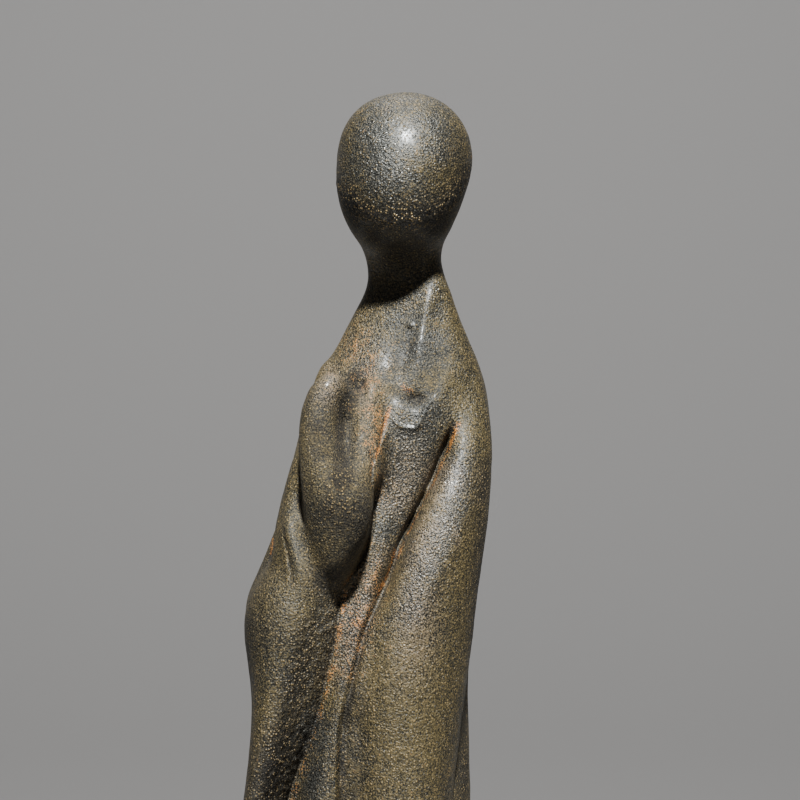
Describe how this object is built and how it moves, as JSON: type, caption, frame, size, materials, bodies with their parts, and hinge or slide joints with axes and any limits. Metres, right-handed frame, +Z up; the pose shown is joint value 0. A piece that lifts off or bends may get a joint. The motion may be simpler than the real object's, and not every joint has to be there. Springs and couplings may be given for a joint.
{
  "type": "robed figure statue",
  "caption": "Standing robed figure in cast iron, with a plain egg-shaped head, a raised hand and long folded robes, on a low round plinth.",
  "frame": {"origin": "middle of the plinth's underside, on the surface the statue stands on", "axes": "+Z up through the head, the figure looks along -Y, and its raised right hand is on the -X side"},
  "size_m": [0.066, 0.066, 0.2999],
  "materials": {
    "cast_iron": "sand-cast iron, dark olive-brown wax with a bloom of old rust"
  },
  "bodies": {
    "root": {"robed_figure": "cast_iron"}
  },
  "joints": []
}
